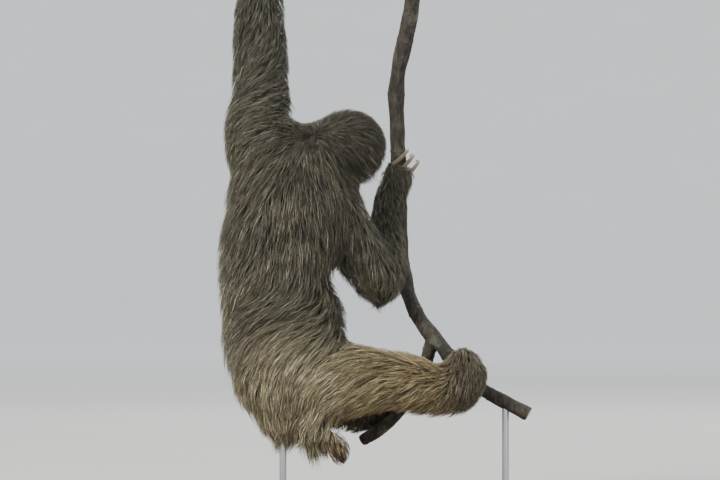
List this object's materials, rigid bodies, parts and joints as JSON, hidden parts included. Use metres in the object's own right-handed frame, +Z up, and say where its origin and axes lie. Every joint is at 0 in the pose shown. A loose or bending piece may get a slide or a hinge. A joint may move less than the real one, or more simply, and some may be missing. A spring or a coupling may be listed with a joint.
{
  "type": "three-toed sloth",
  "caption": "Life-size display model of a three-toed sloth climbing a forked branch, hanging by one raised arm, on a flat base.",
  "frame": {"origin": "middle of the base's underside", "axes": "+Z up, -Y towards the side the animal's back faces, +X to the animal's right"},
  "size_m": [0.5442, 0.3495, 1.0668],
  "materials": {
    "coat": "long coarse shaggy grey-brown hair",
    "claw": "worn yellowish horn",
    "eye": "wet dark brown",
    "nose": "bare moist black skin",
    "bark": "dull dark bark, pale cut ends",
    "base_wood": "satin dark stained wood",
    "rod": "brushed"
  },
  "bodies": {
    "root": {"head": "coat", "neck": "coat", "trunk": "coat", "tail": "coat", "left_upper_arm": "coat", "left_forearm": "coat", "left_hand": "coat", "left_thigh": "coat", "left_shank": "coat", "left_foot": "coat", "right_upper_arm": "coat", "right_forearm": "coat", "right_hand": "coat", "right_thigh": "coat", "right_shank": "coat", "right_foot": "coat", "left_hand_claw_1": "claw", "left_hand_claw_2": "claw", "left_hand_claw_3": "claw", "right_hand_claw_1": "claw", "right_hand_claw_2": "claw", "right_hand_claw_3": "claw", "left_foot_claw_1": "claw", "left_foot_claw_2": "claw", "left_foot_claw_3": "claw", "right_foot_claw_1": "claw", "right_foot_claw_2": "claw", "right_foot_claw_3": "claw", "left_eye": "eye", "right_eye": "eye", "nose": "nose", "perch_limb": "bark", "perch_stem_top": "bark", "perch_stem_middle": "bark", "perch_stem_foot": "bark", "perch_side_shoot": "bark", "stand_base": "base_wood", "stand_rod_rump": "rod", "stand_rod_perch": "rod"}
  },
  "joints": []
}
